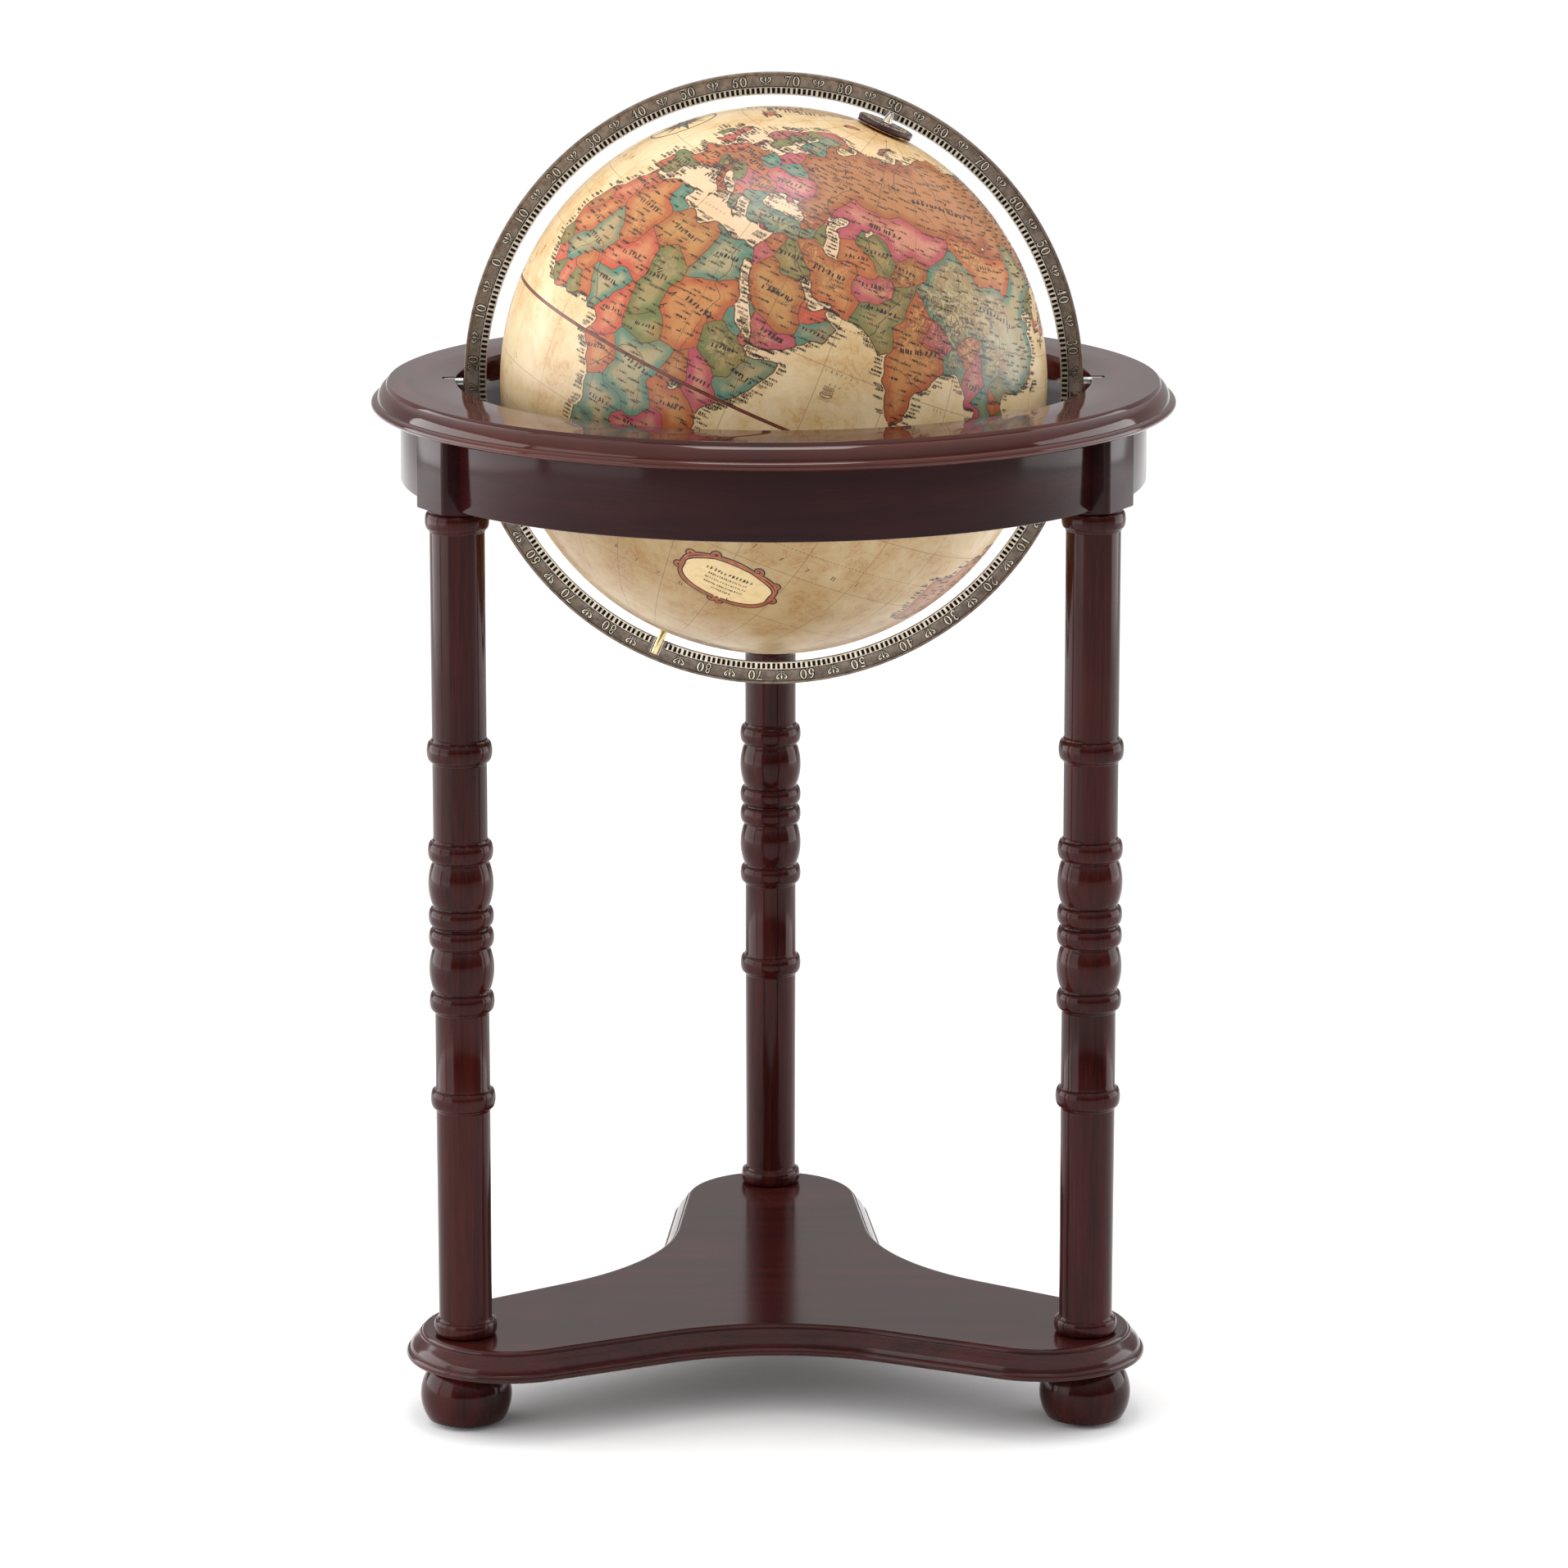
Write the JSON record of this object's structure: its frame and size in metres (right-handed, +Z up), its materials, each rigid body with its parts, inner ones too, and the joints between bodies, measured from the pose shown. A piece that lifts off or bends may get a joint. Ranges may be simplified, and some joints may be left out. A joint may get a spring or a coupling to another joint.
{
  "type": "floor globe",
  "caption": "Floor-standing globe: tilted map ball in a full meridian ring swinging in a round wooden horizon ring, on turned legs, a lobed base plate and bun feet.",
  "frame": {"origin": "on the floor, under the middle of the ball", "axes": "+Z up, -Y is the front; the polar axis leans towards +X in the X-Z plane"},
  "size_m": [0.4484, 0.4542, 0.7454],
  "materials": {
    "wood": "dark cherry lacquer, glossy on flat faces",
    "globe_paper": "raised relief map paper in antique tints, satin varnish",
    "antique_brass": "antiqued cast brass with dark recesses",
    "polished_brass": "polished",
    "dial": "dark printed disc, satin",
    "black_liner": "matt black",
    "steel": "plain",
    "board": "raw board",
    "dowel_wood": "raw"
  },
  "bodies": {
    "stand": {"base_plate": "wood", "horizon_ring": "wood", "pivot_liner_left": "black_liner", "pivot_liner_right": "black_liner", "foot_glide_front_left": "black_liner", "bun_foot_front_left": "wood", "foot_bolt_front_left": "steel", "lower_leg_front_left": "wood", "leg_stud_front_left": "steel", "upper_leg_front_left": "wood", "ring_bolt_front_left": "steel", "corner_block_front_left": "wood", "dowel_front_left_1": "dowel_wood", "dowel_front_left_2": "dowel_wood", "foot_glide_front_right": "black_liner", "bun_foot_front_right": "wood", "foot_bolt_front_right": "steel", "lower_leg_front_right": "wood", "leg_stud_front_right": "steel", "upper_leg_front_right": "wood", "ring_bolt_front_right": "steel", "corner_block_front_right": "wood", "dowel_front_right_1": "dowel_wood", "dowel_front_right_2": "dowel_wood", "foot_glide_back": "black_liner", "bun_foot_back": "wood", "foot_bolt_back": "steel", "lower_leg_back": "wood", "leg_stud_back": "steel", "upper_leg_back": "wood", "ring_bolt_back": "steel", "corner_block_back": "wood", "dowel_back_1": "dowel_wood", "dowel_back_2": "dowel_wood", "apron_panel_front": "wood", "apron_screw_front": "steel", "apron_panel_right": "wood", "apron_screw_right": "steel", "apron_panel_left": "wood", "apron_screw_left": "steel"},
    "meridian": {"meridian_ring": "antique_brass", "pivot_pin_left": "steel", "pivot_pin_right": "steel", "axle_rod": "steel", "south_sleeve": "polished_brass", "south_washer": "polished_brass", "north_cone": "polished_brass"},
    "globe": {"north_hemisphere": "globe_paper", "south_hemisphere": "globe_paper", "seam_band": "board", "north_eyelet": "polished_brass", "south_eyelet": "polished_brass"},
    "time_dial": {"dial_plate": "polished_brass", "time_dial": "dial"}
  },
  "joints": [
    {"name": "meridian_swing", "type": "hinge", "parent": "stand", "child": "meridian", "pos_m": [0, 0, 0.573], "axis": [1, 0, 0], "continuous": true},
    {"name": "globe_spin", "type": "hinge", "parent": "meridian", "child": "globe", "pos_m": [0, 0, 0.573], "axis": [0.3987, 0, 0.9171], "continuous": true},
    {"name": "time_dial_turn", "type": "hinge", "parent": "globe", "child": "time_dial", "pos_m": [0, 0, 0.573], "axis": [0.3987, 0, 0.9171], "continuous": true}
  ]
}
